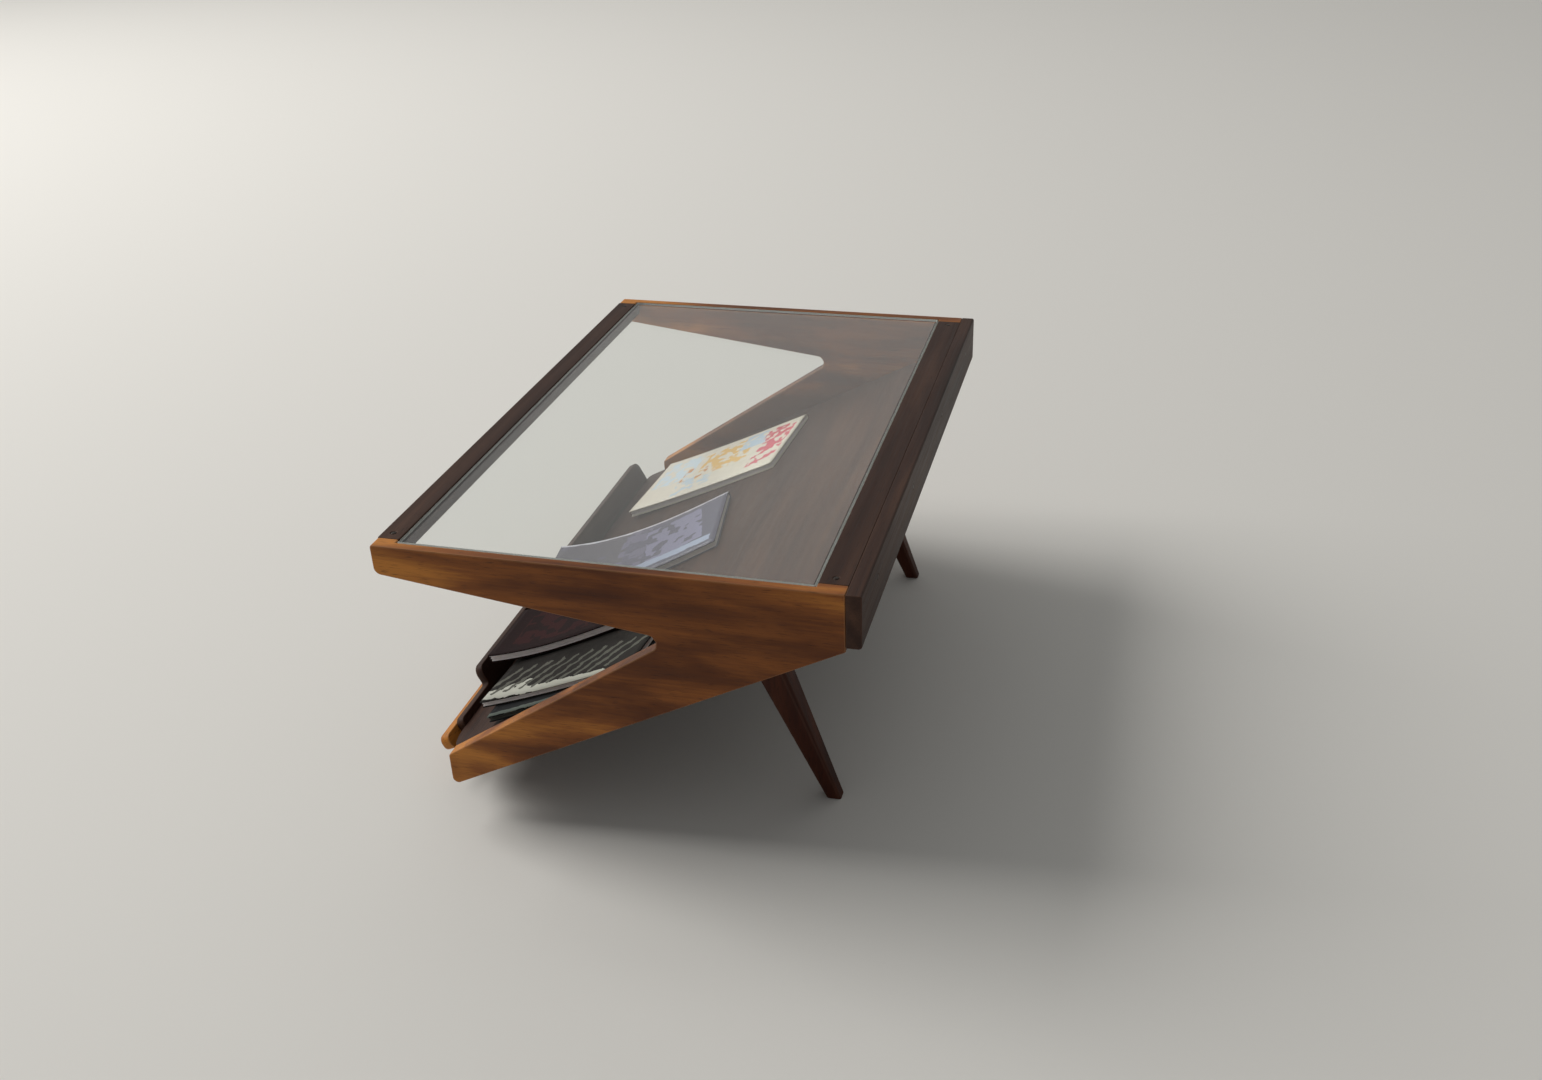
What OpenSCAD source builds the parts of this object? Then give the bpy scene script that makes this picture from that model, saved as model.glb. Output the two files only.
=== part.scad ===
// Doll's-house coffee table: glass top in a walnut frame, V-shaped end
// panels, a sloped magazine rack under the glass, and loose magazines.
// +Z is up, +Y runs along the table, and the rack opens towards -X.
// The origin is on the floor, under the middle of the top.

/* [Table] */
// Width of the top, from the open side to the closed side
top_w = 50.8; // [48:0.1:54]
// Length of the top
top_l = 75.4; // [74:0.1:90]
// Height of the top above the floor
height = 34; // [33.5:0.1:35]
// Thickness of each end panel
panel_t = 1.8; // [1.6:0.1:2.4]

/* [Top frame] */
// Depth of the rail on the open side
left_rail_h = 2.2; // [2:0.1:2.6]
// Depth of the rail on the closed side
right_rail_h = 3.2; // [2.8:0.1:3.4]
// Visible width of the rail on the open side
left_rail_w = 2.4; // [2:0.1:3]
// Visible width of the rail on the closed side, without the apron
right_rail_w = 3; // [2.5:0.1:3.5]
// Thickness of the apron board on the closed side
apron_t = 1.6; // [1.2:0.1:1.8]
// Depth of the apron board
apron_h = 5.9; // [5:0.1:6.4]
// Thickness of the glass
glass_t = 1; // [0.8:0.1:1.4]
// Visible rim of the end panels beside the glass
panel_rim = 1.1; // [0.9:0.1:1.2]
// Width of the step that the glass rests on, on the rails
ledge_w = 0.6; // [0.5:0.1:1]

/* [Magazine rack] */
// Slope of the rack board
rack_tilt = 27.6; // [26.5:0.1:28]
// Thickness of the rack board
board_t = 1.6; // [1.4:0.1:1.8]
// Height of the fence above the rack board
fence_h = 3.15; // [2.8:0.05:3.15]
// Thickness of the fence
fence_t = 1; // [0.8:0.1:1]
// Thickness of the edging in front of the fence
edging_t = 1.2; // [0.8:0.1:1.3]

/* [Legs] */
// Distance of the feet from the middle of the table, along its length
leg_y = 25; // [22:0.5:28]
// Thickness of a long leg where it meets the batten
leg_top = 3.8; // [3.2:0.1:4]
// Thickness of every leg at the floor
leg_foot = 1.5; // [1.3:0.1:2]
// Lean of the long legs, their feet towards the closed side
long_leg_lean = 22; // [16:1:26]
// Lean of the short legs, their feet towards the open side
short_leg_lean = 20; // [10:1:25]

/* [Magazines] */
// Thickness of a magazine's cover sheet
cover_t = 0.12; // [0.1:0.01:0.15]
// Gap between a magazine and what it lies on
rest_gap = 0.03; // [0.02:0.01:0.05]

/* [Hidden] */
$fn = 48;
eps = 0.5;                       // how far a cutting tool runs past a face
fit = 0.02;                      // glue gap round dowels, pins and tenons
glass_fit = 0.1;                 // play of the glass in its rebate

// Places in the end panels' outline, seen along +Y
half_w = top_w / 2;
half_l = top_l / 2;
inner_l = top_l - 2 * panel_t;   // between the end panels
panel_right = half_w - apron_t;
notch = [6.3, height - 7.33];     // where the two arms of an end panel meet
upper_arm_h = 3.3;               // depth of the upper arm at its free end
lower_arm_left = -20.5;          // free end of the lower arm
lower_arm_slope = tan(34.15);     // top edge of the lower arm
tilt_slope = tan(rack_tilt);
panel_right_h = 6.4;             // depth of the panel beside the apron
panel_low_right = [panel_right, height - panel_right_h];

// The rack board's own frame: origin on its top face above the table's centre
board_lift = 2.7;                // board's top above the panels' lower edge, upright
board_z = panel_low_right[1] - panel_right * tilt_slope + board_lift;
board_front = -26;               // along the slope
board_back = 24.4;
near_corner_r = 6;               // of the board, clear of the fence
far_corner_r = 0.8;
fence_near_end = -21.3;          // of its tall part
lip_near_end = -29;              // of the low lip that runs on from it
lip_h = 0.9;
fence_far_end = 35;
edging_near_end = -31.5;
edging_h = 0.6;                  // edging's rise above the board
front_drop = 1.3;                // depth of the fence and edging below the board's top

// Glass and rebates
glass_left = -half_w + left_rail_w;
glass_right = panel_right - right_rail_w;
glass_end = half_l - panel_rim;

// Legs and battens
batten_t = 0.7;
batten_w = 4.6;
long_leg = [19.6, long_leg_lean, leg_top];     // place of the foot, lean, thickness
short_leg = [-19.4, -short_leg_lean, 2.6];
tenon_r = 0.9;
tenon_l = 1.1;                   // depth of the tenon in the board
leg_ease = 0.12;                 // flat left on the legs' corners, share of the thickness

// Dowels and pins
dowel_r = 0.45;
dowel_l = 1.7;                   // whole length of a rail dowel
dowel_in_panel = 1;
rail_dowel_z = height - 1.1;
board_dowel_r = 0.4;
board_dowel_u = [-20, -6, 8];
pin_r = 0.3;
pin_l = 1.6;
pin_inset = 1.2;                 // from the inner face of the end panel
apron_pin_y = [-30, -10, 10, 30];
apron_pin_l = 3;
apron_pin_z = height - 2.2;
left_rail_mid = -half_w + left_rail_w / 2;
right_rail_mid = panel_right - right_rail_w / 2;

walnut = "saddlebrown";
dark_walnut = "sienna";

// Points of the arc of radius r that rounds the corner b between a and c
function corner_arc(a, b, c, r, steps = 6) =
  let (u = (a - b) / norm(a - b), v = (c - b) / norm(c - b),
       half = acos(max(-1, min(1, u * v))) / 2,
       reach = r / tan(half),
       mid = b + (u + v) / norm(u + v) * r / sin(half),
       p = b + u * reach - mid, q = b + v * reach - mid)
  [for (i = [0 : steps])
    let (s = i / steps, w = p * (1 - s) + q * s) mid + w / norm(w) * r];

// An outline with each corner rounded by its own radius
function rounded(points, radii) =
  let (n = len(points))
  [for (i = [0 : n - 1])
    each radii[i] == 0 ? [points[i]]
      : corner_arc(points[(i + n - 1) % n], points[i], points[(i + 1) % n], radii[i])];

// Places things in the rack board's frame: x up the slope, z off the board
module on_board() {
  translate([0, 0, board_z]) rotate([0, -rack_tilt, 0]) children();
}

// Turns an outline drawn in x and z into a board of thickness t from y
module upright(y, t) {
  translate([0, y + t, 0]) rotate([90, 0, 0]) linear_extrude(t) children();
}

// A rod along Y from y0 to y1
module rod_y(x, z, r, y0, y1) {
  translate([x, y0, z]) rotate([-90, 0, 0]) cylinder(h = y1 - y0, r = r);
}

module panel_outline() {
  arm_low = [lower_arm_left, panel_low_right[1] + (lower_arm_left - panel_right) * tilt_slope];
  arm_high = [lower_arm_left, notch[1] - (notch[0] - lower_arm_left) * lower_arm_slope];
  polygon(rounded(
    [[-half_w, height], [panel_right, height], panel_low_right, arm_low, arm_high,
     notch, [-half_w, height - upper_arm_h]],
    [0.3, 0, 0, 0.6, 0.4, 0.95, 0.8]));
}

// Bores in the end panels for the rail and board dowels
module panel_bores(y_in, side) {
  deep = dowel_in_panel + fit;
  y0 = side > 0 ? y_in - eps : y_in - deep;
  y1 = side > 0 ? y_in + deep : y_in + eps;
  for (x = [left_rail_mid, right_rail_mid])
    rod_y(x, rail_dowel_z, dowel_r + fit, y0, y1);
  for (u = board_dowel_u)
    on_board() rod_y(u, -board_t / 2, board_dowel_r + fit, y0, y1);
}

module glass_rebate() {
  translate([glass_left, -glass_end, height - glass_t])
    cube([glass_right - glass_left, 2 * glass_end, glass_t + eps]);
}

module end_panel(side) {
  y_in = side * (half_l - panel_t);
  difference() {
    upright(side > 0 ? y_in : -half_l, panel_t) panel_outline();
    glass_rebate();
    panel_bores(y_in, side);
  }
}

module near_end_panel() {
  color(walnut) end_panel(-1);
}

module far_end_panel() {
  color(walnut) end_panel(1);
}

// A long rail with its glass rebate, its end dowel bores and its pin bores
module top_rail(x0, x1, mid, h) {
  difference() {
    translate([x0, -inner_l / 2, height - h]) cube([x1 - x0, inner_l, h]);
    glass_rebate();
    for (side = [-1, 1]) {
      y_in = side * inner_l / 2;
      deep = dowel_l - dowel_in_panel + fit;
      rod_y(mid, rail_dowel_z, dowel_r + fit,
            side > 0 ? y_in - deep : y_in - eps, side > 0 ? y_in + eps : y_in + deep);
      translate([mid, y_in - side * pin_inset, height - pin_l - fit])
        cylinder(h = pin_l + eps, r = pin_r + fit);
    }
  }
}

module left_top_rail() {
  color(dark_walnut) top_rail(-half_w, glass_left + ledge_w, left_rail_mid, left_rail_h);
}

module right_top_rail() {
  color(dark_walnut) difference() {
    top_rail(glass_right - ledge_w, panel_right, right_rail_mid, right_rail_h);
    for (y = apron_pin_y)
      translate([panel_right - apron_pin_l + apron_t - fit, y, apron_pin_z])
        rotate([0, 90, 0]) cylinder(h = apron_pin_l, r = pin_r + fit);
  }
}

module right_apron() {
  color(dark_walnut) difference() {
    upright(-half_l, top_l)
      polygon(rounded(
        [[panel_right, height], [half_w, height], [half_w, height - apron_h],
         [panel_right, height - apron_h]],
        [0, 0.25, 0.4, 0]));
    for (y = apron_pin_y)
      translate([panel_right - eps, y, apron_pin_z])
        rotate([0, 90, 0]) cylinder(h = apron_t + 2 * eps, r = pin_r + fit);
  }
}

module glass_pane() {
  color("lightcyan", 0.4)
    translate([glass_left + glass_fit, -glass_end + glass_fit, height - glass_t])
      cube([glass_right - glass_left - 2 * glass_fit, 2 * (glass_end - glass_fit), glass_t]);
}

module rack_board() {
  half = inner_l / 2;
  color(dark_walnut) difference() {
    on_board() translate([0, 0, -board_t]) linear_extrude(board_t)
      polygon(rounded(
        [[board_front, -half], [board_back, -half], [board_back, half], [board_front, half]],
        [near_corner_r, 0, 0, far_corner_r]));
    for (u = board_dowel_u, side = [-1, 1])
      on_board() rod_y(u, -board_t / 2, board_dowel_r + fit,
                       side > 0 ? half - dowel_in_panel - fit : -half - eps,
                       side > 0 ? half + eps : -half + dowel_in_panel + fit);
    tenon_holes(long_leg, -board_t - eps, -board_t + tenon_l + fit);
    tenon_holes(short_leg, -board_t - eps, -board_t + tenon_l + fit);
  }
}

// A bar of thickness t in front of the place u, drawn in y and height
module front_bar(u, t) {
  on_board() translate([u, 0, 0]) rotate([90, 0, -90]) linear_extrude(t) children();
}

// The fence along the board's front edge: a tall part that stops short of the
// near end panel, and a low lip that runs on from it
module rack_fence() {
  color(dark_walnut) front_bar(board_front, fence_t)
    polygon(rounded(
      [[-fence_far_end, -front_drop], [-lip_near_end, -front_drop],
       [-lip_near_end, lip_h], [-fence_near_end, lip_h],
       [-fence_near_end, fence_h], [-fence_far_end, fence_h]],
      [0, 0.3, 0.8, 0.4, 1.1, 1.1]));
}

// The low edging in front of the fence, with round ends
module rack_edging() {
  end_r = 0.8;
  color(walnut) front_bar(board_front - fence_t, edging_t)
    polygon(rounded(
      [[-fence_far_end, -front_drop], [-edging_near_end, -front_drop],
       [-edging_near_end, edging_h], [-fence_far_end, edging_h]],
      [end_r, end_r, end_r, 0]));
}

// Place along the slope where a leg's centre line meets its batten's underside
function leg_u(leg) =
  let (drop = board_t + batten_t,
       rise = (board_z - drop / cos(rack_tilt) + leg[0] * tilt_slope)
              / (1 + tan(leg[1]) * tilt_slope))
  (leg[0] - rise * tan(leg[1])) * cos(rack_tilt) + (rise - board_z) * sin(rack_tilt);

// Tenon holes for a pair of legs, from the height w0 to w1 off the board
module tenon_holes(leg, w0, w1) {
  for (side = [-1, 1])
    on_board() translate([leg_u(leg), side * leg_y, w0]) cylinder(h = w1 - w0, r = tenon_r + fit);
}

module leg_batten(leg) {
  color(dark_walnut) difference() {
    on_board() translate([leg_u(leg) - batten_w / 2, -inner_l / 2, -board_t - batten_t])
      cube([batten_w, inner_l, batten_t]);
    tenon_holes(leg, -board_t - batten_t - eps, -board_t + eps);
  }
}

module right_leg_batten() {
  leg_batten(long_leg);
}

module left_leg_batten() {
  leg_batten(short_leg);
}

// A wedge whose two sloping faces are one pair of a leg's faces
module leg_faces(l, top, foot, turn) {
  rotate([90, 0, turn]) translate([0, 0, -top * 2]) linear_extrude(top * 4)
    polygon([[-foot / 2, 0], [foot / 2, 0], [top / 2, l], [-top / 2, l]]);
}

// A square taper of length l that stands on the origin, with eased corners
module taper(l, top, foot) {
  diagonal = sqrt(2) * (1 - leg_ease);
  intersection() {
    leg_faces(l, top, foot, 0);
    leg_faces(l, top, foot, 90);
    leg_faces(l, top * diagonal, foot * diagonal, 45);
    leg_faces(l, top * diagonal, foot * diagonal, 135);
  }
}

// A leg is cut level at the floor and to the slope of its batten
module table_leg(leg, side) {
  over = 1;                      // how far the taper runs past both cuts
  batten_w0 = -board_t - batten_t;
  rise = board_z + batten_w0 / cos(rack_tilt)
         + (leg_u(leg) + batten_w0 * -tan(rack_tilt)) * sin(rack_tilt);
  length = rise / cos(leg[1]) + 2 * over;
  color(dark_walnut) {
    intersection() {
      translate([leg[0], side * leg_y, 0]) rotate([0, -leg[1], 0])
        translate([0, 0, -over]) taper(length, leg[2], leg_foot);
      translate([-top_w, -half_l, 0]) cube([2 * top_w, top_l, height]);
      on_board() translate([-top_w, -half_l, batten_w0 - top_w])
        cube([2 * top_w, top_l, top_w]);
    }
    on_board() translate([leg_u(leg), side * leg_y, batten_w0])
      cylinder(h = batten_t + tenon_l, r = tenon_r);
  }
}

module near_right_leg() {
  table_leg(long_leg, -1);
}

module far_right_leg() {
  table_leg(long_leg, 1);
}

module near_left_leg() {
  table_leg(short_leg, -1);
}

module far_left_leg() {
  table_leg(short_leg, 1);
}

// Dowels that join the rails to the end panels
module rail_dowels() {
  color("burlywood") for (x = [left_rail_mid, right_rail_mid], side = [-1, 1]) {
    y_in = side * inner_l / 2;
    tip = side * dowel_in_panel;
    tail = -side * (dowel_l - dowel_in_panel);
    rod_y(x, rail_dowel_z, dowel_r, y_in + min(tip, tail), y_in + max(tip, tail));
  }
}

// Dowels that join the rack board to the end panels
module board_dowels() {
  color("burlywood") for (u = board_dowel_u, side = [-1, 1])
    on_board() rod_y(u, -board_t / 2, board_dowel_r,
                     side * inner_l / 2 - dowel_in_panel, side * inner_l / 2 + dowel_in_panel);
}

// Small wire pins whose heads show on the rails near the corners
module rail_pins() {
  color("dimgray") for (x = [left_rail_mid, right_rail_mid], side = [-1, 1])
    translate([x, side * (inner_l / 2 - pin_inset), height - pin_l])
      cylinder(h = pin_l, r = pin_r);
}

// Wire pins that hold the apron to the rail
module apron_pins() {
  color("dimgray") for (y = apron_pin_y)
    translate([half_w - apron_pin_l, y, apron_pin_z])
      rotate([0, 90, 0]) cylinder(h = apron_pin_l, r = pin_r);
}

// Each magazine: [middle along the slope, middle along y, turn, length, width,
// thickness, height at its back end, how far its front end curls up]
bright_magazine = [-8.7, 24.5, -5, 24, 15.3, 0.7, 0, 0.5];
blue_magazine = [-12.6, 0.8, 12, 24, 16.8, 0.8, 0, 3.3];
wine_magazine = [-14.45, -16, 0, 18.6, 11, 0.9, 1.7, 1.5];
striped_magazine = [-10.2, -22.6, -7, 22, 16, 0.7, 0.75, 0.65];
dark_magazine = [-9.6, -24.6, -3, 21, 15, 0.7, 0, 0.45];

// Height of a magazine's underside at the share s of its length, from the back
function curl_height(mag, s) = mag[6] + rest_gap + mag[7] * pow(s, 3);

// The same height on the straight steps that the curl is drawn with, so that
// the layers of a magazine lie against each other
function step_height(mag, s, steps) =
  let (i = min(floor(s * steps), steps - 1), f = s * steps - i)
  curl_height(mag, i / steps) * (1 - f) + curl_height(mag, (i + 1) / steps) * f;

// Side outline of a layer of a magazine, between heights t0 and t1 in it
function layer_outline(mag, t0, t1, inset, steps = 12) =
  let (l = mag[3],
       at = [for (i = [0 : steps]) max(inset / l, min(1 - inset / l, i / steps))])
  concat(
    [for (s = at) [l / 2 - l * s, step_height(mag, s, steps) + t1]],
    [for (i = [steps : -1 : 0]) [l / 2 - l * at[i], step_height(mag, at[i], steps) + t0]]);

page_inset = 0.15;               // of the pages from the cover's open edges
page_gap = 0.01;                 // air between the pages and the cover

module place_magazine(mag) {
  on_board() translate([mag[0], mag[1], 0]) rotate([0, 0, mag[2]]) children();
}

// A folded cover: two sheets and the spine along the magazine's far side
module magazine_cover(mag) {
  w = mag[4];
  t = mag[5];
  place_magazine(mag) {
    upright(-w / 2, w) polygon(layer_outline(mag, 0, cover_t, 0));
    upright(-w / 2, w) polygon(layer_outline(mag, t - cover_t, t, 0));
    upright(w / 2 - cover_t, cover_t) polygon(layer_outline(mag, 0, t, 0));
  }
}

module magazine_pages(mag) {
  w = mag[4];
  skin = cover_t + page_gap;
  place_magazine(mag)
    upright(-w / 2 + page_inset, w - page_inset - skin)
      polygon(layer_outline(mag, skin, mag[5] - skin, page_inset));
}

// Two wire staples on the spine
module magazine_staples(mag) {
  staple_l = 1;
  wire_r = 0.07;
  place_magazine(mag) for (s = [0.27, 0.73])
    translate([mag[3] * (0.5 - s) - staple_l / 2, mag[4] / 2 + wire_r,
               curl_height(mag, s) + mag[5] / 2])
      rotate([0, 90, 0]) cylinder(h = staple_l, r = wire_r);
}

module bright_magazine_cover() {
  color("lightyellow") magazine_cover(bright_magazine);
}

module bright_magazine_pages() {
  color("ivory") magazine_pages(bright_magazine);
}

module bright_magazine_staples() {
  color("silver") magazine_staples(bright_magazine);
}

module blue_magazine_cover() {
  color("lightsteelblue") magazine_cover(blue_magazine);
}

module blue_magazine_pages() {
  color("ivory") magazine_pages(blue_magazine);
}

module blue_magazine_staples() {
  color("silver") magazine_staples(blue_magazine);
}

module wine_magazine_cover() {
  color("maroon") magazine_cover(wine_magazine);
}

module wine_magazine_pages() {
  color("ivory") magazine_pages(wine_magazine);
}

module wine_magazine_staples() {
  color("silver") magazine_staples(wine_magazine);
}

module striped_magazine_cover() {
  color("gainsboro") magazine_cover(striped_magazine);
}

module striped_magazine_pages() {
  color("ivory") magazine_pages(striped_magazine);
}

module striped_magazine_staples() {
  color("silver") magazine_staples(striped_magazine);
}

module dark_magazine_cover() {
  color("darkslategray") magazine_cover(dark_magazine);
}

module dark_magazine_pages() {
  color("ivory") magazine_pages(dark_magazine);
}

module dark_magazine_staples() {
  color("silver") magazine_staples(dark_magazine);
}

near_end_panel();
far_end_panel();
left_top_rail();
right_top_rail();
right_apron();
glass_pane();
rack_board();
rack_edging();
rack_fence();
right_leg_batten();
left_leg_batten();
near_right_leg();
far_right_leg();
near_left_leg();
far_left_leg();
rail_dowels();
board_dowels();
rail_pins();
apron_pins();
bright_magazine_cover();
bright_magazine_pages();
bright_magazine_staples();
blue_magazine_cover();
blue_magazine_pages();
blue_magazine_staples();
wine_magazine_cover();
wine_magazine_pages();
wine_magazine_staples();
striped_magazine_cover();
striped_magazine_pages();
striped_magazine_staples();
dark_magazine_cover();
dark_magazine_pages();
dark_magazine_staples();
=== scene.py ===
from math import pi, radians, tan

import bmesh
import bpy
from mathutils import Matrix, Vector


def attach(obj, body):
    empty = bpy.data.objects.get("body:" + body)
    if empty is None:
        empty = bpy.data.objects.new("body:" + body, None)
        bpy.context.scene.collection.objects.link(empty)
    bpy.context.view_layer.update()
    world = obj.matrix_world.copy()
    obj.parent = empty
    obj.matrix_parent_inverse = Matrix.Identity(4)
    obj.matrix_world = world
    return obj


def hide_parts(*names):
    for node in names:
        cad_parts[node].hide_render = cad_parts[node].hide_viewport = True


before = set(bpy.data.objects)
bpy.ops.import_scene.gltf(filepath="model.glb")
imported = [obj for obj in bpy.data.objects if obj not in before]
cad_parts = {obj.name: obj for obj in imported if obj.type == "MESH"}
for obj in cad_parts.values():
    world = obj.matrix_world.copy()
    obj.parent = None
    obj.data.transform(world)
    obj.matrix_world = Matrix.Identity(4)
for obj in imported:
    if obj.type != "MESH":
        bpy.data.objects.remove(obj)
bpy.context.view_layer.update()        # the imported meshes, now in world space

mm = 0.001
print("frame loaded,", len(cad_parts), "nodes")


def toLinear(hexColour):
    # sRGB hex to the linear colour that Blender's sockets take
    parts = [int(hexColour[i:i + 2], 16) / 255 for i in (1, 3, 5)]
    return tuple(p / 12.92 if p <= 0.04045 else ((p + 0.055) / 1.055) ** 2.4 for p in parts) + (1,)


def addNode(tree, kind, inputs=None, stops=None, **settings):
    # adds one node; each input is a value or the socket that feeds it
    node = tree.nodes.new(kind)
    for name, value in settings.items():
        setattr(node, name, value)
    for place, colour in stops or []:
        ends = node.color_ramp.elements
        stop = ends[0] if place == 0 else ends[-1] if place == 1 else ends.new(place)
        stop.color = colour
    for name, value in (inputs or {}).items():
        if isinstance(value, bpy.types.NodeSocket):
            tree.links.new(value, node.inputs[name])
        else:
            node.inputs[name].default_value = value
    return node


def startMaterial(name):
    material = bpy.data.materials.new(name)
    material.use_nodes = True
    material.node_tree.nodes.clear()
    return material, material.node_tree


def showShader(tree, shader):
    addNode(tree, "ShaderNodeOutputMaterial", {"Surface": shader.outputs[0]})


# camera at the height of somebody leaning over a table, turned towards the rack's open side
cameraLook = {
    "place": (49.1, -150.7, 103.3),
    "turn": 15.92,               # degrees to the left of straight along the table
    "down": 28.64,
    "roll": -2.26,
    "lens": 33.85,
    "sensor": 36,
    "nearClip": 5,
}


def setCamera(look):
    data = bpy.data.cameras.new("tableCamera")
    data.lens = look["lens"]
    data.sensor_width = look["sensor"]
    data.clip_start = look["nearClip"] * mm
    camera = bpy.data.objects.new("tableCamera", data)
    bpy.context.scene.collection.objects.link(camera)
    camera.matrix_world = (
        Matrix.Translation(Vector(look["place"]) * mm)
        @ Matrix.Rotation(radians(look["turn"]), 4, "Z")
        @ Matrix.Rotation(radians(90 - look["down"]), 4, "X")
        @ Matrix.Rotation(radians(look["roll"]), 4, "Z")
    )
    bpy.context.scene.camera = camera


studio = {
    "keyPlace": (-640, 90, 560),       # large window light, from the left
    "keySize": 560,
    "keyPower": 5.7,
    "keyColour": "#FFFCF8",
    "backPlace": (-100, 950, 500),     # pale panel behind the table, which the glass mirrors
    "backSize": 1750,
    "backPower": 3.3,
    "backColour": "#F8F4EE",
    "worldColour": "#EFF0EF",
    "worldStrength": 0.25,
    "floorColour": "#E4E3DF",
    "floorSize": 3000,
}


def setStudio(look):
    scene = bpy.context.scene
    scene.view_settings.view_transform = "Standard"
    world = bpy.data.worlds.new("paleRoom")
    world.use_nodes = True
    world.node_tree.nodes.clear()
    room = addNode(world.node_tree, "ShaderNodeBackground",
                   {"Color": toLinear(look["worldColour"]), "Strength": look["worldStrength"]})
    addNode(world.node_tree, "ShaderNodeOutputWorld", {"Surface": room.outputs[0]})
    scene.world = world
    for part in ("key", "back"):
        data = bpy.data.lights.new(part + "Light", "AREA")
        data.size = look[part + "Size"] * mm
        data.energy = look[part + "Power"]
        data.color = toLinear(look[part + "Colour"])[:3]
        light = bpy.data.objects.new(part + "Light", data)
        light.location = Vector(look[part + "Place"]) * mm
        light.rotation_euler = (-light.location).to_track_quat("-Z", "Y").to_euler()
        light.visible_camera = False
        scene.collection.objects.link(light)
    floorShape = bmesh.new()
    bmesh.ops.create_grid(floorShape, x_segments=4, y_segments=4, size=look["floorSize"] * mm / 2)
    mesh = bpy.data.meshes.new("paleFloor")
    floorShape.to_mesh(mesh)
    floorShape.free()
    floor = bpy.data.objects.new("paleFloor", mesh)
    scene.collection.objects.link(floor)
    material, tree = startMaterial("mattCardFloor")
    shader = addNode(tree, "ShaderNodeBsdfPrincipled",
                     {"Base Color": toLinear(look["floorColour"]), "Roughness": 0.9})
    showShader(tree, shader)
    mesh.materials.append(material)


setCamera(cameraLook)
setStudio(studio)
print("camera, lights and floor set")


# widths and lengths in millimetres; waveScale makes Blender's wave repeat once a unit
grainSizes = {"waveScale": 0.314, "ringSlant": 0.6, "streakWidth": 0.25,
              "poreLength": 1.5, "poreWidth": 0.1, "poreDepth": 0.55, "bumpHeight": 0.02}


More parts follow.
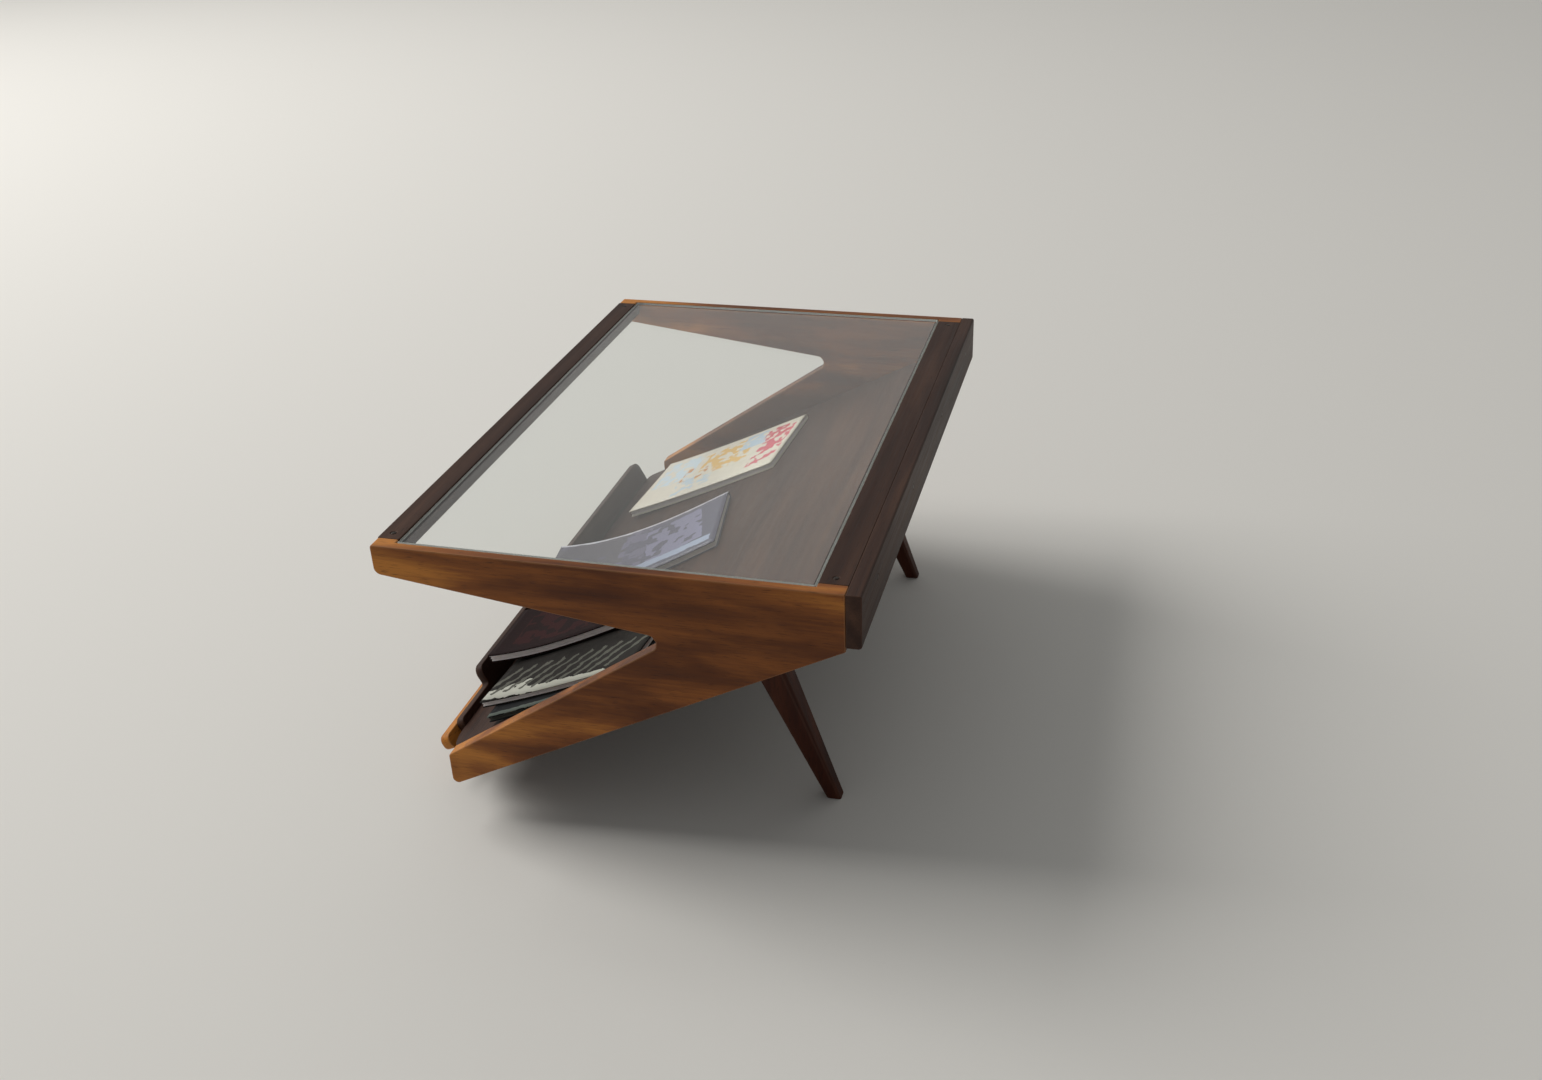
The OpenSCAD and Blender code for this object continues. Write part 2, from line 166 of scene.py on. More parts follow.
def woodMaterial(name, look):
    # grain direction is turned to X, and one unit is one millimetre
    material, tree = startMaterial(name)
    place = addNode(tree, "ShaderNodeTexCoord").outputs["Object"]
    grain = addNode(tree, "ShaderNodeMapping", {
        "Vector": place, "Scale": (1 / mm,) * 3, "Rotation": look["grainTurn"],
        "Location": look["cut"]}).outputs[0]

    def stretched(length, width, tilt=0.0):
        return addNode(tree, "ShaderNodeMapping", {
            "Vector": grain, "Rotation": (tilt, 0, 0),
            "Scale": (1 / length, 1 / width, 1 / width)}).outputs[0]

    # broad figure: colour drifts over several millimetres, far longer along the grain
    figure = addNode(tree, "ShaderNodeTexNoise", {
        "Vector": stretched(look["figureLength"], look["figureWidth"]),
        "Scale": 1.0, "Detail": 3.0, "Roughness": 0.55, "Distortion": 0.5}).outputs["Fac"]
    # growth rings, cut at a slant so that they show on every face
    rings = addNode(tree, "ShaderNodeTexWave", {
        "Vector": stretched(look["figureLength"] / 2, 1.0, grainSizes["ringSlant"]),
        "Scale": grainSizes["waveScale"] / look["ringSpacing"], "Distortion": 5.0, "Detail": 2.0,
        "Detail Scale": 0.6, "Detail Roughness": 0.6},
        bands_direction="Y", wave_profile="SIN").outputs["Fac"]
    # fine streaks
    streaks = addNode(tree, "ShaderNodeTexNoise", {
        "Vector": stretched(look["streakLength"], grainSizes["streakWidth"]),
        "Scale": 1.0, "Detail": 4.0, "Roughness": 0.6}).outputs["Fac"]
    # pores: dark dashes, drawn wider than real ones, which are too fine to show
    poreNoise = addNode(tree, "ShaderNodeTexNoise", {
        "Vector": stretched(grainSizes["poreLength"], grainSizes["poreWidth"]),
        "Scale": 1.0, "Detail": 1.0}).outputs["Fac"]
    pores = addNode(tree, "ShaderNodeMapRange", {
        "Value": poreNoise, "From Min": 0.6, "From Max": 0.72}).outputs[0]
    withRings = addNode(tree, "ShaderNodeMath", {
        0: rings, 1: look["ringShare"], 2: figure}, operation="MULTIPLY_ADD").outputs[0]
    tone = addNode(tree, "ShaderNodeMath", {
        0: streaks, 1: look["streakShare"], 2: withRings}, operation="MULTIPLY_ADD").outputs[0]
    # the wood pales along the grain, from the first place of paleSpan to the second
    along = addNode(tree, "ShaderNodeSeparateXYZ", {0: grain}).outputs[0]
    paling = addNode(tree, "ShaderNodeMapRange", {
        "Value": along, "From Min": look["paleSpan"][0], "From Max": look["paleSpan"][1],
        "To Min": 0.0, "To Max": look["paleShare"]}).outputs[0]
    tone = addNode(tree, "ShaderNodeMath", {0: tone, 1: paling}, operation="ADD").outputs[0]
    middle = 0.5 * (1 + look["ringShare"] + look["streakShare"])
    spread = addNode(tree, "ShaderNodeMapRange", {
        "Value": tone, "From Min": middle - look["range"], "From Max": middle + look["range"]})
    wood = addNode(tree, "ShaderNodeValToRGB", {"Fac": spread.outputs[0]}, stops=[
        (0, toLinear(look["dark"])), (0.36, toLinear(look["red"])),
        (0.66, toLinear(look["middle"])), (1, toLinear(look["light"]))]).outputs["Color"]
    poreDepth = addNode(tree, "ShaderNodeMath", {
        0: pores, 1: grainSizes["poreDepth"]}, operation="MULTIPLY").outputs[0]
    pored = addNode(tree, "ShaderNodeMix", {
        0: poreDepth, 6: wood, 7: toLinear(look["pore"])}, data_type="RGBA").outputs[2]
    # the eased edges are painted a little paler than the faces: partly rubbed wear, partly a
    # painted highlight standing in for the sheen the edges catch
    edge = addNode(tree, "ShaderNodeAttribute", attribute_name="easedEdge").outputs["Fac"]
    rubbedAndSheen = addNode(tree, "ShaderNodeMath", {0: edge, 1: look["edgeWearAndSheen"]}, operation="MULTIPLY")
    wornAndSheened = addNode(tree, "ShaderNodeMix", {
        0: rubbedAndSheen.outputs[0], 6: pored, 7: toLinear(look["edge"])}, data_type="RGBA").outputs[2]
    roughness = addNode(tree, "ShaderNodeMapRange", {
        "Value": streaks, "From Min": 0.3, "From Max": 0.7,
        "To Min": look["roughness"] - 0.07, "To Max": look["roughness"] + 0.07}).outputs[0]
    relief = addNode(tree, "ShaderNodeMath", {
        0: pores, 1: -1.0, 2: streaks}, operation="MULTIPLY_ADD").outputs[0]
    bump = addNode(tree, "ShaderNodeBump", {
        "Height": relief, "Strength": 0.5, "Distance": grainSizes["bumpHeight"] * mm}).outputs[0]
    shader = addNode(tree, "ShaderNodeBsdfPrincipled", {
        "Base Color": wornAndSheened, "Roughness": roughness, "Normal": bump, "IOR": 1.5,
        "Specular IOR Level": look["shine"]})
    showShader(tree, shader)
    return material


# oiled walnut, planed and sanded by hand: warm brown with orange and dark red drifts, nearly matt
oiledWalnut = {
    "grainTurn": (0, 0, 0), "cut": (7, 2, 3),
    "figureLength": 26, "figureWidth": 5.0, "ringSpacing": 2.3, "streakLength": 7,
    "ringShare": 0.1, "streakShare": 0.22, "range": 0.27,
    "paleSpan": (2, -20), "paleShare": 0.28,
    "dark": "#45200F", "red": "#653615", "middle": "#8A5021", "light": "#C07C34",
    # edge colour and its share: paler eased edges, partly wear and partly a painted highlight
    "pore": "#2A1408", "edge": "#A07550", "edgeWearAndSheen": 0.35,
    "roughness": 0.5, "shine": 0.22,
}
# the same timber stained darker for the long parts and legs
stainedWalnut = {
    "grainTurn": (0, 0, radians(-90)), "cut": (3, 5, 1),
    "figureLength": 34, "figureWidth": 3.4, "ringSpacing": 1.6, "streakLength": 9,
    "ringShare": 0.1, "streakShare": 0.3, "range": 0.32, "paleSpan": (0, 1), "paleShare": 0.0,
    "dark": "#25150F", "red": "#352018", "middle": "#432C21", "light": "#54392B",
    # edge colour and its share: paler eased edges, partly wear and partly a painted highlight
    "pore": "#140A07", "edge": "#60473A", "edgeWearAndSheen": 0.25,
    "roughness": 0.52, "shine": 0.18,
}
panelWood = woodMaterial("oiledWalnut", oiledWalnut)
railWood = woodMaterial("stainedWalnut", stainedWalnut)
legWood = woodMaterial("stainedWalnutLegs", {
    **stainedWalnut, "grainTurn": (0, radians(90), 0), "figureLength": 24, "figureWidth": 3.0,
    "dark": "#2A120A", "red": "#3E1B10", "middle": "#4E2616", "light": "#62301D"})
edgingWood = woodMaterial("oiledWalnutEdging", {
    **oiledWalnut, "grainTurn": (0, 0, radians(-90)), "cut": (1, 9, 4)})
dowelWood = woodMaterial("turnedBirch", {
    **stainedWalnut, "figureWidth": 1.0, "dark": "#B08A5C", "red": "#C09B6C",
    "middle": "#CDAA7D", "light": "#D9BB92", "pore": "#8C6A42", "edge": "#E0C8A2",
    "roughness": 0.55, "shine": 0.3})
print("wood finishes made")


# drawn steel wire with fine draw marks: bright where it is new, brown-black where it has tarnished
wires = {"drawnSteelWire": {"dark": "#5E5C5A", "light": "#B3B1AD"},
         "tarnishedSteelWire": {"dark": "#1E1A18", "light": "#4A423D"}}


def wireMaterial(name):
    look = wires[name]
    material, tree = startMaterial(name)
    place = addNode(tree, "ShaderNodeTexCoord").outputs["Object"]
    marks = addNode(tree, "ShaderNodeMapping", {
        "Vector": place, "Scale": (2 / mm, 12 / mm, 12 / mm)}).outputs[0]
    noise = addNode(tree, "ShaderNodeTexNoise", {"Vector": marks, "Scale": 1.0, "Detail": 2.0})
    colour = addNode(tree, "ShaderNodeValToRGB", {"Fac": noise.outputs["Fac"]}, stops=[
        (0, toLinear(look["dark"])), (1, toLinear(look["light"]))]).outputs["Color"]
    roughness = addNode(tree, "ShaderNodeMapRange", {
        "Value": noise.outputs["Fac"], "To Min": 0.28, "To Max": 0.5}).outputs[0]
    shader = addNode(tree, "ShaderNodeBsdfPrincipled", {
        "Base Color": colour, "Roughness": roughness, "Metallic": 1.0})
    showShader(tree, shader)
    return material


def paneMaterial():
    # float glass: clear, faintly green, with barely visible smudges; lamps shine through it
    material, tree = startMaterial("polishedFloatGlass")
    place = addNode(tree, "ShaderNodeTexCoord").outputs["Object"]
    smudges = addNode(tree, "ShaderNodeTexNoise", {
        "Vector": addNode(tree, "ShaderNodeMapping", {
            "Vector": place, "Scale": (0.12 / mm,) * 3}).outputs[0],
        "Scale": 1.0, "Detail": 3.0})
    roughness = addNode(tree, "ShaderNodeMapRange", {
        "Value": smudges.outputs["Fac"], "From Min": 0.5, "From Max": 0.8,
        "To Min": 0.0, "To Max": 0.02}).outputs[0]
    glass = addNode(tree, "ShaderNodeBsdfPrincipled", {
        "Base Color": toLinear("#FBFEFC"), "Roughness": roughness, "IOR": 1.52,
        "Transmission Weight": 1.0})
    clear = addNode(tree, "ShaderNodeBsdfTransparent", {"Color": toLinear("#FAFCFB")})
    shade = addNode(tree, "ShaderNodeMixShader", {
        0: addNode(tree, "ShaderNodeLightPath").outputs["Is Shadow Ray"],
        1: glass.outputs[0], 2: clear.outputs[0]})
    showShader(tree, shade)
    return material


def groundEdgeMaterial():
    # ground glass edge: frosted, pale grey-green; its 0.2 mm grain is coarser than real grit
    material, tree = startMaterial("groundGlassEdge")
    place = addNode(tree, "ShaderNodeTexCoord").outputs["Object"]
    grit = addNode(tree, "ShaderNodeTexNoise", {
        "Vector": addNode(tree, "ShaderNodeMapping", {
            "Vector": place, "Scale": (5 / mm,) * 3}).outputs[0],
        "Scale": 1.0, "Detail": 2.0})
    colour = addNode(tree, "ShaderNodeValToRGB", {"Fac": grit.outputs["Fac"]}, stops=[
        (0, toLinear("#AEB8B2")), (1, toLinear("#DDE4DF"))]).outputs["Color"]
    bump = addNode(tree, "ShaderNodeBump", {
        "Height": grit.outputs["Fac"], "Strength": 0.4, "Distance": 0.01 * mm}).outputs[0]
    shader = addNode(tree, "ShaderNodeBsdfPrincipled", {
        "Base Color": colour, "Roughness": 0.55, "IOR": 1.52, "Normal": bump,
        "Transmission Weight": 0.35})
    showShader(tree, shader)
    return material


steelWire = wireMaterial("drawnSteelWire")
tarnishedWire = wireMaterial("tarnishedSteelWire")
paneGlass = paneMaterial()
groundEdge = groundEdgeMaterial()
print("glass and wire made")


def addPiece(name, shape, materials, body, replaced):
    mesh = bpy.data.meshes.new(name)
    shape.to_mesh(mesh)
    shape.free()
    for material in materials:
        mesh.materials.append(material)
    piece = bpy.data.objects.new(name, mesh)
    bpy.context.scene.collection.objects.link(piece)
    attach(piece, body)
    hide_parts(*replaced)
    return piece


# distances in millimetres, angles in degrees; the walls of a bore meet at 360/48 degrees
easing = {"mergeGap": 0.0005, "flatAngle": 0.4, "cornerAngle": 28,
          "boreAngle": 7.5, "boreSlack": 0.3}


def easedShape(nodeName, width, segments=2):
    # the CAD part with its triangles merged into flat faces and its corners eased
    shape = bmesh.new()
    shape.from_mesh(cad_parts[nodeName].data)
    bmesh.ops.remove_doubles(shape, verts=shape.verts, dist=easing["mergeGap"] * mm)
    bmesh.ops.dissolve_limit(shape, angle_limit=radians(easing["flatAngle"]),
                             verts=shape.verts, edges=shape.edges)
    eased = shape.faces.layers.float.new("easedEdge")
    # the walls of a bore meet at a hollow angle and stay as they are
    boreWalls = set()
    for edge in shape.edges:
        if len(edge.link_faces) == 2 and not edge.is_convex:
            off = abs(edge.calc_face_angle() - radians(easing["boreAngle"]))
            if off < radians(easing["boreSlack"]):
                boreWalls.update(edge.link_faces)
    sharp = radians(easing["cornerAngle"])
    corners = [edge for edge in shape.edges
               if len(edge.link_faces) == 2 and edge.calc_face_angle() > sharp
               and not boreWalls.intersection(edge.link_faces)]
    result = bmesh.ops.bevel(shape, geom=corners, offset=width * mm, offset_type="OFFSET",
                             segments=segments, profile=0.5, affect="EDGES",
                             clamp_overlap=False, material=-1)
    for face in result["faces"]:
        face[eased] = 1.0
    for face in shape.faces:
        face.smooth = True
    return shape


def addWeightedNormals(piece):
    finish = piece.modifiers.new("flatFaces", "WEIGHTED_NORMAL")
    finish.mode = "FACE_AREA"
    finish.weight = 80


# every wooden part: its finish, its slot and how far its corners are eased, in millimetres
woodenParts = {
    "near_end_panel": (panelWood, "walnut", 0.14),
    "far_end_panel": (panelWood, "walnut", 0.14),
    "left_top_rail": (railWood, "dark_walnut", 0.1),
    "right_top_rail": (railWood, "dark_walnut", 0.1),
    "right_apron": (railWood, "dark_walnut", 0.1),
    "rack_board": (railWood, "dark_walnut", 0.1),
    "rack_edging": (edgingWood, "walnut", 0.12),
    "rack_fence": (railWood, "dark_walnut", 0.12),
    "right_leg_batten": (railWood, "dark_walnut", 0.1),
    "left_leg_batten": (railWood, "dark_walnut", 0.1),
    "near_right_leg": (legWood, "dark_walnut", 0.12),
    "far_right_leg": (legWood, "dark_walnut", 0.12),
    "near_left_leg": (legWood, "dark_walnut", 0.12),
    "far_left_leg": (legWood, "dark_walnut", 0.12),
    "rail_dowels": (dowelWood, "birch", 0.06),
    "board_dowels": (dowelWood, "birch", 0.06),
}
for nodeName, (finish, slotName, width) in woodenParts.items():
    words = nodeName.split("_")
    pieceName = words[0] + "".join(word.capitalize() for word in words[1:])
    piece = addPiece(pieceName, easedShape(nodeName, width), [finish], "table",
                     [nodeName])
    addWeightedNormals(piece)
pinEase = {"width": 0.08, "segments": 3}
for nodeName, pieceName in (("rail_pins", "railPins"), ("apron_pins", "apronPins")):
    piece = addPiece(pieceName, easedShape(nodeName, **pinEase), [tarnishedWire], "table",
                     [nodeName])
    addWeightedNormals(piece)
print("wooden parts and pins made")

paneLook = {"arris": 0.12}       # width of the ground arris round both faces, in millimetres


def addPane(look):
    shape = easedShape("glass_pane", look["arris"], 1)
    for face in shape.faces:
        face.smooth = False
        face.material_index = 0 if abs(face.normal.z) > 0.9 else 1
    addPiece("glassPane", shape, [paneGlass, groundEdge], "glass", ["glass_pane"])


addPane(paneLook)
print("glass pane made")

# the rack board's own frame, with the origin on its top face above the table's centre
rack = {"tilt": 27.6, "panelCorner": (23.8, 27.6), "boardLift": 2.7}
rackHeight = (rack["panelCorner"][1] - rack["panelCorner"][0] * tan(radians(rack["tilt"]))
              + rack["boardLift"])


# millimetres: the gap under a magazine and the thickness of its cover's paper
restGap = 0.03
coverSheet = 0.12


def intoRack(look):
    return (Matrix.Scale(mm, 4) @ Matrix.Translation((0, 0, rackHeight))
            @ Matrix.Rotation(radians(-rack["tilt"]), 4, "Y")
            @ Matrix.Translation((look["up"], look["along"], 0))
            @ Matrix.Rotation(radians(look["turn"]), 4, "Z"))


def curlHeight(look, share):
    # height of the underside off the board, from the back at share 0 to the front at 1
    return look["backRise"] + restGap + look["curl"] * share ** 3


def shareAt(look, x):
    return min(1, max(0, 0.5 - x / look["length"]))


def flareAt(look, point):
    # the open side lifts a little, more towards the front
    across = max(0, 0.5 - point.y / look["width"])
    return look["flare"] * across ** 2 * (0.4 + 0.6 * shareAt(look, point.x))


def printedMaterial(name, look):
    # printed cover, offset ink on paper, satin or matt; the UV is in millimetres
    material, tree = startMaterial(name)
    place = addNode(tree, "ShaderNodeUVMap", uv_map="printPlace").outputs[0]
    wobble = addNode(tree, "ShaderNodeTexNoise", {"Vector": place, "Scale": 0.9, "Detail": 2.0})
    shift = addNode(tree, "ShaderNodeVectorMath", {
        0: wobble.outputs["Color"], 1: (-0.5, -0.5, -0.5)}, operation="ADD").outputs[0]
    placed = addNode(tree, "ShaderNodeVectorMath", {
        0: shift, 1: (look["wobble"],) * 3, 2: place}, operation="MULTIPLY_ADD").outputs[0]
    cells = addNode(tree, "ShaderNodeTexVoronoi", {
        "Vector": place, "Scale": 1 / look["cell"]}, distance="CHEBYCHEV").outputs["Color"]
    chance = addNode(tree, "ShaderNodeSeparateColor", {0: cells}).outputs[0]
    colour = addNode(tree, "ShaderNodeMix", {
        0: wobble.outputs["Fac"], 6: toLinear(look["ground"]), 7: toLinear(look["groundShade"])},
        data_type="RGBA").outputs[2]
    for middle, half, turn, ink, cover in look["blocks"]:
        centred = addNode(tree, "ShaderNodeMapping", {
            "Vector": placed, "Location": (*middle, 0), "Rotation": (0, 0, radians(turn)),
            "Scale": (*half, 1)}, vector_type="TEXTURE").outputs[0]
        away = addNode(tree, "ShaderNodeVectorMath", {0: centred}, operation="ABSOLUTE").outputs[0]
        sides = addNode(tree, "ShaderNodeSeparateXYZ", {0: away})
        edge = addNode(tree, "ShaderNodeMath", {
            0: sides.outputs[0], 1: sides.outputs[1]}, operation="MAXIMUM").outputs[0]
        inside = addNode(tree, "ShaderNodeMath", {
            0: edge, 1: 1.0}, operation="LESS_THAN").outputs[0]
        inked = addNode(tree, "ShaderNodeMath", {
            0: chance, 1: cover}, operation="LESS_THAN").outputs[0]
        both = addNode(tree, "ShaderNodeMath", {
            0: inside, 1: inked}, operation="MULTIPLY").outputs[0]
        colour = addNode(tree, "ShaderNodeMix", {
            0: both, 6: colour, 7: toLinear(ink)}, data_type="RGBA").outputs[2]
    fibres = addNode(tree, "ShaderNodeTexNoise", {"Vector": place, "Scale": 4.0, "Detail": 3.0})
    roughness = addNode(tree, "ShaderNodeMapRange", {
        "Value": fibres.outputs["Fac"], "To Min": look["roughness"] - 0.08,
        "To Max": look["roughness"] + 0.08}).outputs[0]
    bump = addNode(tree, "ShaderNodeBump", {
        "Height": fibres.outputs["Fac"], "Strength": 0.25, "Distance": 0.01 * mm}).outputs[0]
    shader = addNode(tree, "ShaderNodeBsdfPrincipled", {
        "Base Color": colour, "Roughness": roughness, "Normal": bump, "IOR": 1.5,
        "Specular IOR Level": look["shine"]})
    showShader(tree, shader)
    return material


def pageMaterial(name, shade, light):
    # uncoated paper: matt, with faint fibres
    material, tree = startMaterial(name)
    place = addNode(tree, "ShaderNodeTexCoord").outputs["Object"]
    fibres = addNode(tree, "ShaderNodeTexNoise", {
        "Vector": addNode(tree, "ShaderNodeMapping", {
            "Vector": place, "Scale": (1.2 / mm, 1.2 / mm, 6 / mm)}).outputs[0],
        "Scale": 1.0, "Detail": 4.0})
    colour = addNode(tree, "ShaderNodeValToRGB", {"Fac": fibres.outputs["Fac"]}, stops=[
        (0, toLinear(shade)), (1, toLinear(light))]).outputs["Color"]
    bump = addNode(tree, "ShaderNodeBump", {
        "Height": fibres.outputs["Fac"], "Strength": 0.3, "Distance": 0.01 * mm}).outputs[0]
    shader = addNode(tree, "ShaderNodeBsdfPrincipled", {
        "Base Color": colour, "Roughness": 0.8, "Normal": bump, "IOR": 1.5})
    showShader(tree, shader)
    return material


papers = {"white": pageMaterial("uncoatedPaper", "#D8D2D2", "#F6F1F0"),
          "grey": pageMaterial("uncoatedGreyPaper", "#3A3E39", "#52574F")}


foldLook = {"arcSteps": 8, "flatCuts": 10, "lengthSteps": 26}


def addCover(name, look, material):
    # one sheet folded round the spine: the fold's arc, its two flats, then a sweep along the length
    length, width, thick = (look[k] for k in ("length", "width", "thickness"))
    shape = bmesh.new()
    start = shape.verts.new((-length / 2, width / 2 - thick / 2, coverSheet / 2))
    arc = bmesh.ops.spin(shape, geom=[start], cent=(-length / 2, width / 2 - thick / 2, thick / 2),
                         axis=(1, 0, 0), angle=pi, steps=foldLook["arcSteps"])
    tips = [start] + [item for item in arc["geom_last"] if isinstance(item, bmesh.types.BMVert)]
    flats = bmesh.ops.extrude_vert_indiv(shape, verts=tips)
    bmesh.ops.translate(shape, verts=flats["verts"], vec=(0, -(width - thick / 2), 0))
    bmesh.ops.subdivide_edges(shape, edges=flats["edges"], cuts=foldLook["flatCuts"])
    steps = foldLook["lengthSteps"]
    bmesh.ops.spin(shape, geom=shape.verts[:] + shape.edges[:], cent=(0, 0, 0), axis=(1, 0, 0),
                   dvec=(length / steps, 0, 0), angle=0, steps=steps)
    bmesh.ops.recalc_face_normals(shape, faces=shape.faces)
    place = shape.loops.layers.uv.new("printPlace")
    for face in shape.faces:
        face.smooth = True
        top = face.calc_center_median().z > thick / 2
        for loop in face.loops:
            across = loop.vert.co.y + width / 2
            loop[place].uv = (loop.vert.co.x + length / 2, across if top else 2 * width - across)
    for vert in shape.verts:
        lift = flareAt(look, vert.co) if vert.co.z > thick / 2 else 0
        vert.co.z += curlHeight(look, shareAt(look, vert.co.x)) + lift
    bmesh.ops.transform(shape, matrix=intoRack(look), verts=shape.verts)
    piece = addPiece(name + "MagazineCover", shape, [material], name + "_magazine",
                     [name + "_magazine_cover"])
    wall = piece.modifiers.new("sheetThickness", "SOLIDIFY")
    wall.thickness = coverSheet * mm
    wall.offset = 0


# millimetres between the pages and the cover, at the ends and off each leaf; fill is the share
# of its place that a leaf takes up
pageLook = {"skinGap": 0.02, "endGap": 0.05, "trim": 0.06, "trimStep": 0.05, "fill": 0.72}


def addPages(name, look):
    # separate leaves, each a little offset, so that their edges show as lines
    length, width, thick = (look[k] for k in ("length", "width", "thickness"))
    leaves = look["leaves"]
    low = coverSheet + pageLook["skinGap"]
    pitch = (thick - 2 * low) / leaves
    shape = bmesh.new()
    for i in range(leaves):
        leaf = bmesh.ops.create_grid(shape, x_segments=20, y_segments=8, size=0.5)["verts"]
        trim = pageLook["trim"] + pageLook["trimStep"] * ((i * 7) % 3)
        size = (length - 2 * trim - 2 * pageLook["endGap"], width - trim - thick / 2, 1)
        bmesh.ops.scale(shape, verts=leaf, vec=size)
        middle = -width / 2 + trim + size[1] / 2
        bmesh.ops.translate(shape, verts=leaf, vec=(0, middle, low + (i + 0.5) * pitch))
        for vert in leaf:
            lift = flareAt(look, vert.co) * (i + 0.5) / leaves
            vert.co.z += curlHeight(look, shareAt(look, vert.co.x)) + lift
    for face in shape.faces:
        face.smooth = True
    bmesh.ops.transform(shape, matrix=intoRack(look), verts=shape.verts)
    piece = addPiece(name + "MagazinePages", shape, [papers[look["paper"]]],
                     name + "_magazine", [name + "_magazine_pages"])
    wall = piece.modifiers.new("leafThickness", "SOLIDIFY")
    wall.thickness = pageLook["fill"] * pitch * mm
    wall.offset = 0


wire = {"radius": 0.07, "crown": 1.0, "bend": 0.09, "leg": 0.12, "shares": (0.27, 0.73)}


def addStaples(name, look):
    # bent wire: a crown along the spine and two legs that go into the fold
    shape = bmesh.new()
    for share in wire["shares"]:
        x = look["length"] * (0.5 - share)
        z = curlHeight(look, share) + look["thickness"] / 2
        y = look["width"] / 2 + wire["radius"]
        ring = bmesh.ops.create_circle(shape, segments=10, radius=wire["radius"])["verts"]
        start = Vector((x - wire["crown"] / 2, y - wire["bend"] - wire["leg"], z))
        turned = Matrix.Translation(start) @ Matrix.Rotation(pi / 2, 4, "X")
        bmesh.ops.transform(shape, matrix=turned, verts=ring)
        tip = ring + list({edge for vert in ring for edge in vert.link_edges})
        # leg out of the fold, bend, crown, bend, leg back in: each is a slide and a turn
        moves = [((0, wire["leg"], 0), None), ((0, 0, 0), (wire["bend"], 0, 0)),
                 ((wire["crown"] - 2 * wire["bend"], 0, 0), None),
                 ((0, 0, 0), (0, -wire["bend"], 0)), ((0, -wire["leg"], 0), None)]
        for slide, pivot in moves:
            points = [item for item in tip if isinstance(item, bmesh.types.BMVert)]
            here = sum((vert.co for vert in points), Vector()) / len(points)
            tip = bmesh.ops.spin(shape, geom=tip, cent=here + Vector(pivot or (0, 0, 0)),
                                 axis=(0, 0, 1), angle=-pi / 2 if pivot else 0, dvec=slide,
                                 steps=4 if pivot else 1)["geom_last"]
    bmesh.ops.holes_fill(shape, edges=shape.edges, sides=0)
    bmesh.ops.recalc_face_normals(shape, faces=shape.faces)
    for face in shape.faces:
        face.smooth = len(face.verts) == 4
    bmesh.ops.transform(shape, matrix=intoRack(look), verts=shape.verts)
    addPiece(name + "MagazineStaples", shape, [steelWire], name + "_magazine",
             [name + "_magazine_staples"])


satinInk = {"roughness": 0.45, "shine": 0.5}
mattInk = {"roughness": 0.65, "shine": 0.1}
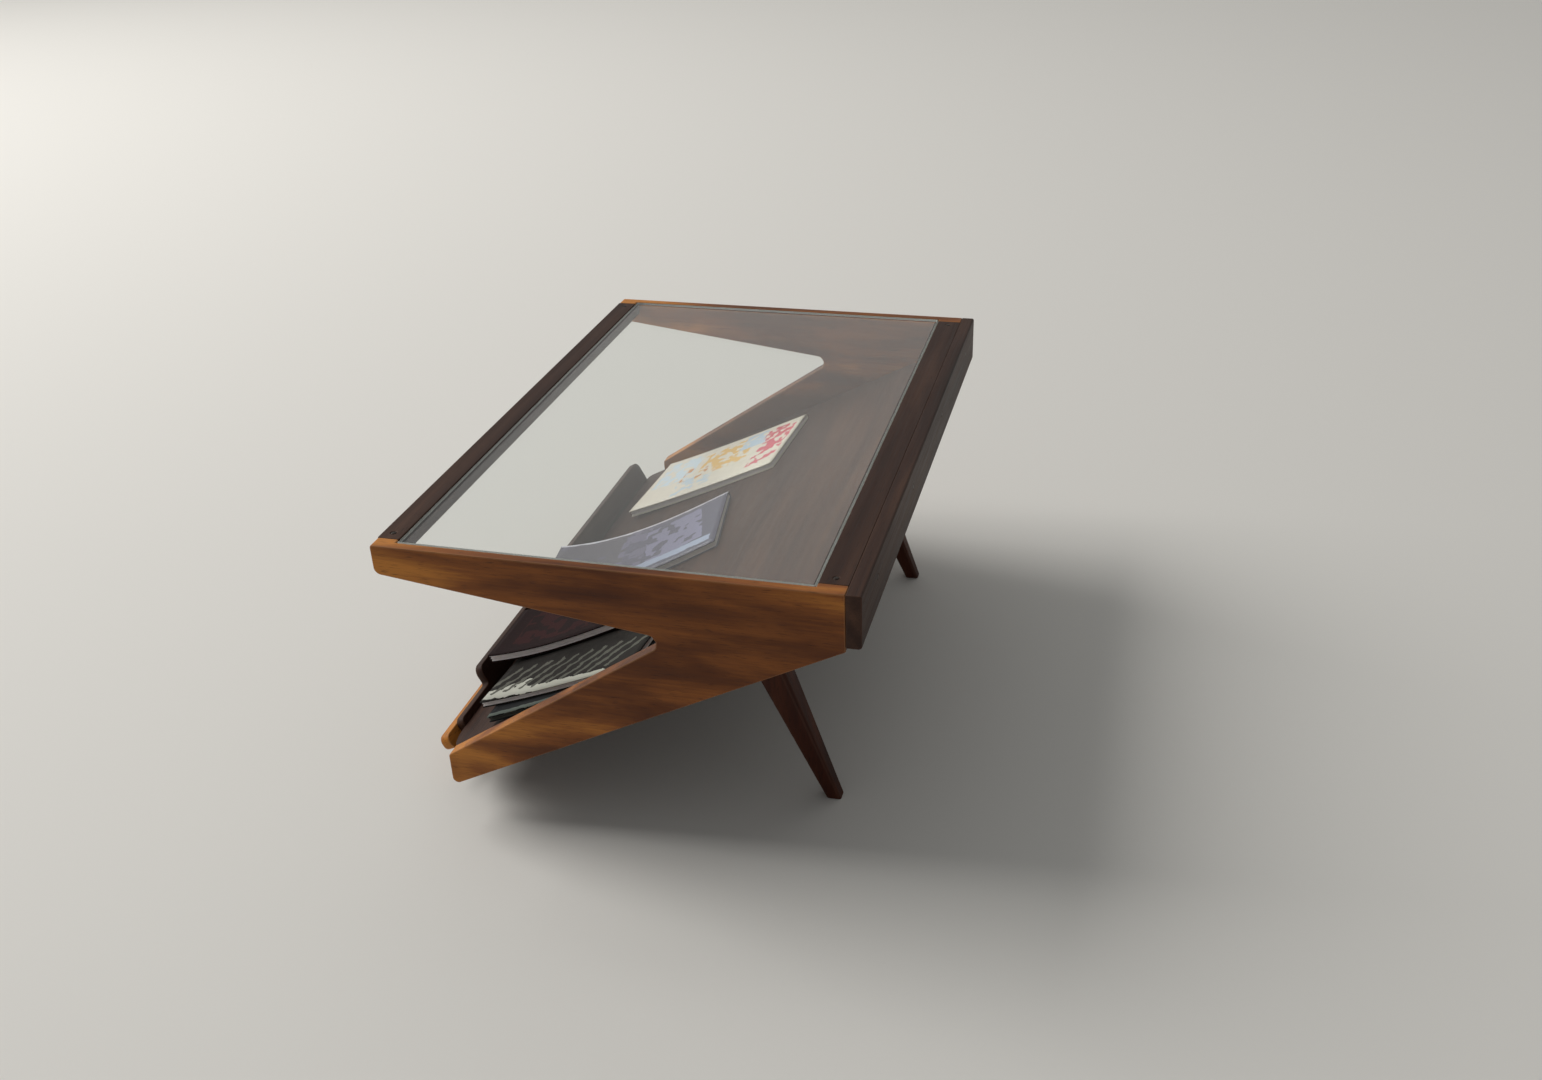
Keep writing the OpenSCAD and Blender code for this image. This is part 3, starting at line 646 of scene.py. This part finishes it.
# up and along place a magazine's middle on the board; a block is its middle and half size in
# millimetres from the front open corner, its turn, its ink and how much of it is inked
magazines = {
    "bright": {
        "up": -8.7, "along": 24.5, "turn": -5, "length": 24, "width": 15.3, "thickness": 0.7,
        "backRise": 0, "curl": 0.5, "flare": 0.2, "leaves": 6, "paper": "white", **satinInk,
        "ground": "#E8E0CF", "groundShade": "#D2CCC2", "wobble": 0.8, "cell": 0.9,
        "blocks": [((4, 10), (3.2, 4), 0, "#C9D9E4", 0.6), ((9, 4), (3, 2.5), 12, "#BCCFDD", 0.5),
                   ((12.5, 9.5), (4.2, 4), 8, "#E3B866", 0.55),
                   ((9, 7.5), (3, 2), 0, "#C98F55", 0.25),
                   ((17, 12), (2.4, 2.2), 0, "#B7CBDD", 0.7),
                   ((21, 7.6), (2.2, 5.5), 0, "#D0566A", 0.55),
                   ((20.5, 12.5), (2.2, 1.4), 0, "#C93B4E", 0.5)],
    },
    "blue": {
        "up": -12.6, "along": 0.8, "turn": 12, "length": 24, "width": 16.8, "thickness": 0.8,
        "backRise": 0, "curl": 3.3, "flare": 0.15, "leaves": 6, "paper": "white", **satinInk,
        "ground": "#56546A", "groundShade": "#4A485C", "wobble": 0.6, "cell": 1.4,
        "blocks": [((4.5, 8.8), (5.2, 7.2), 0, "#4E4B57", 0.95),
                   ((11, 8.8), (2, 7), 0, "#65627A", 0.5), ((17, 9), (4, 5.6), 8, "#7D7B98", 0.7),
                   # the pale blue band near the open edge is a painted highlight, not print
                   ((17, 2.6), (6, 0.9), 0, "#9BA6BF", 0.9),
                   ((12, 16.3), (12, 0.3), 0, "#C9C8D2", 1.0)],
    },
    "wine": {
        "up": -14.45, "along": -16, "turn": 0, "length": 18.6, "width": 11, "thickness": 0.9,
        "backRise": 1.7, "curl": 1.5, "flare": 0.12, "leaves": 7, "paper": "white", **mattInk,
        "ground": "#1F080A", "groundShade": "#160506", "wobble": 0.5, "cell": 1.2,
        "blocks": [((9.3, 5.5), (7, 3.8), 0, "#2E0F10", 0.6),
                   ((14, 5.5), (1.6, 3.2), 0, "#3A1A16", 0.5)],
    },
    "striped": {
        "up": -10.2, "along": -22.6, "turn": -7, "length": 22, "width": 16, "thickness": 0.7,
        "backRise": 0.75, "curl": 0.65, "flare": 0.08, "leaves": 5, "paper": "white", **mattInk,
        "ground": "#1B1917", "groundShade": "#2A2725", "wobble": 1.3, "cell": 0.5,
        "blocks": [((11, 0.5), (11, 0.8), -4, "#B5B6AC", 1.0),
                   ((3, 1.8), (3, 0.8), 10, "#B5B6AC", 0.9)]
                  + [((0.6 + 2.1 * i, 3.8), (0.3, 3.2), -38, "#5C5C55", 1.0) for i in range(10)],
    },
    "dark": {
        "up": -9.6, "along": -24.6, "turn": -3, "length": 21, "width": 15, "thickness": 0.7,
        "backRise": 0, "curl": 0.45, "flare": 0.02, "leaves": 5, "paper": "grey", **mattInk,
        "ground": "#17181A", "groundShade": "#202224", "wobble": 0.4, "cell": 1.2,
        "blocks": [((10.5, 0.35), (10.5, 0.35), 0, "#5E6660", 1.0),
                   ((10.5, 8), (8, 5), 0, "#26282B", 0.6)],
    },
}
for name, look in magazines.items():
    addCover(name, look, printedMaterial(name + "PrintedCover", look))
    addPages(name, look)
    addStaples(name, look)
print("magazines made")
